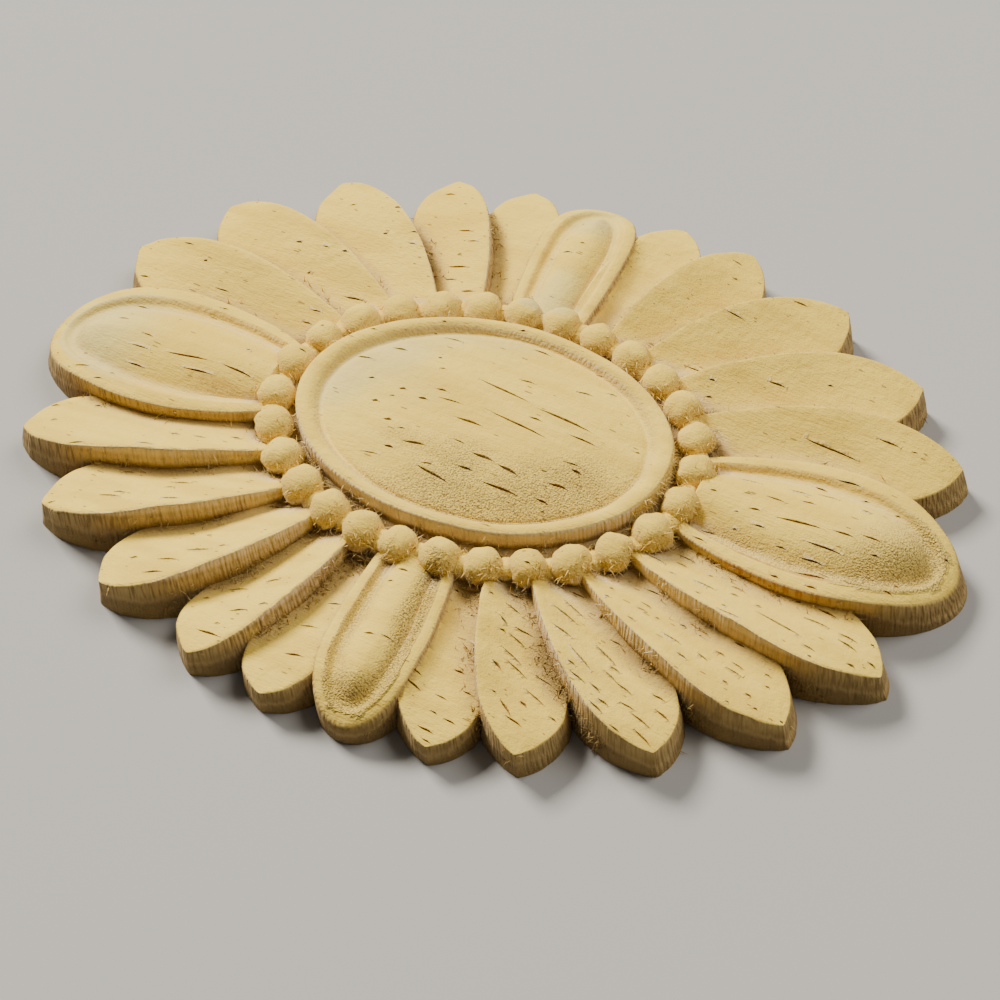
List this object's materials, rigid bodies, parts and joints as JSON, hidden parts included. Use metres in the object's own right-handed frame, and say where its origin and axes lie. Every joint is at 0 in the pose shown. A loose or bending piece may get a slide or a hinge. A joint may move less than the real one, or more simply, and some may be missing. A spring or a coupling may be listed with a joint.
{
  "type": "carved wood applique",
  "caption": "Oval carved wood applique: a domed centre in a raised rim, a beaded ring, spoon petals on both axes and overlapping pointed petals between them, on a flat back.",
  "frame": {"origin": "middle of the flat back face", "axes": "+X along the oval's length, +Y along its width, +Z out of the carved face"},
  "size_m": [0.1526, 0.108, 0.012],
  "materials": {
    "wood": "bare, sanded tops and rough tool-cut walls"
  },
  "bodies": {
    "root": {"applique": "wood"}
  },
  "joints": []
}
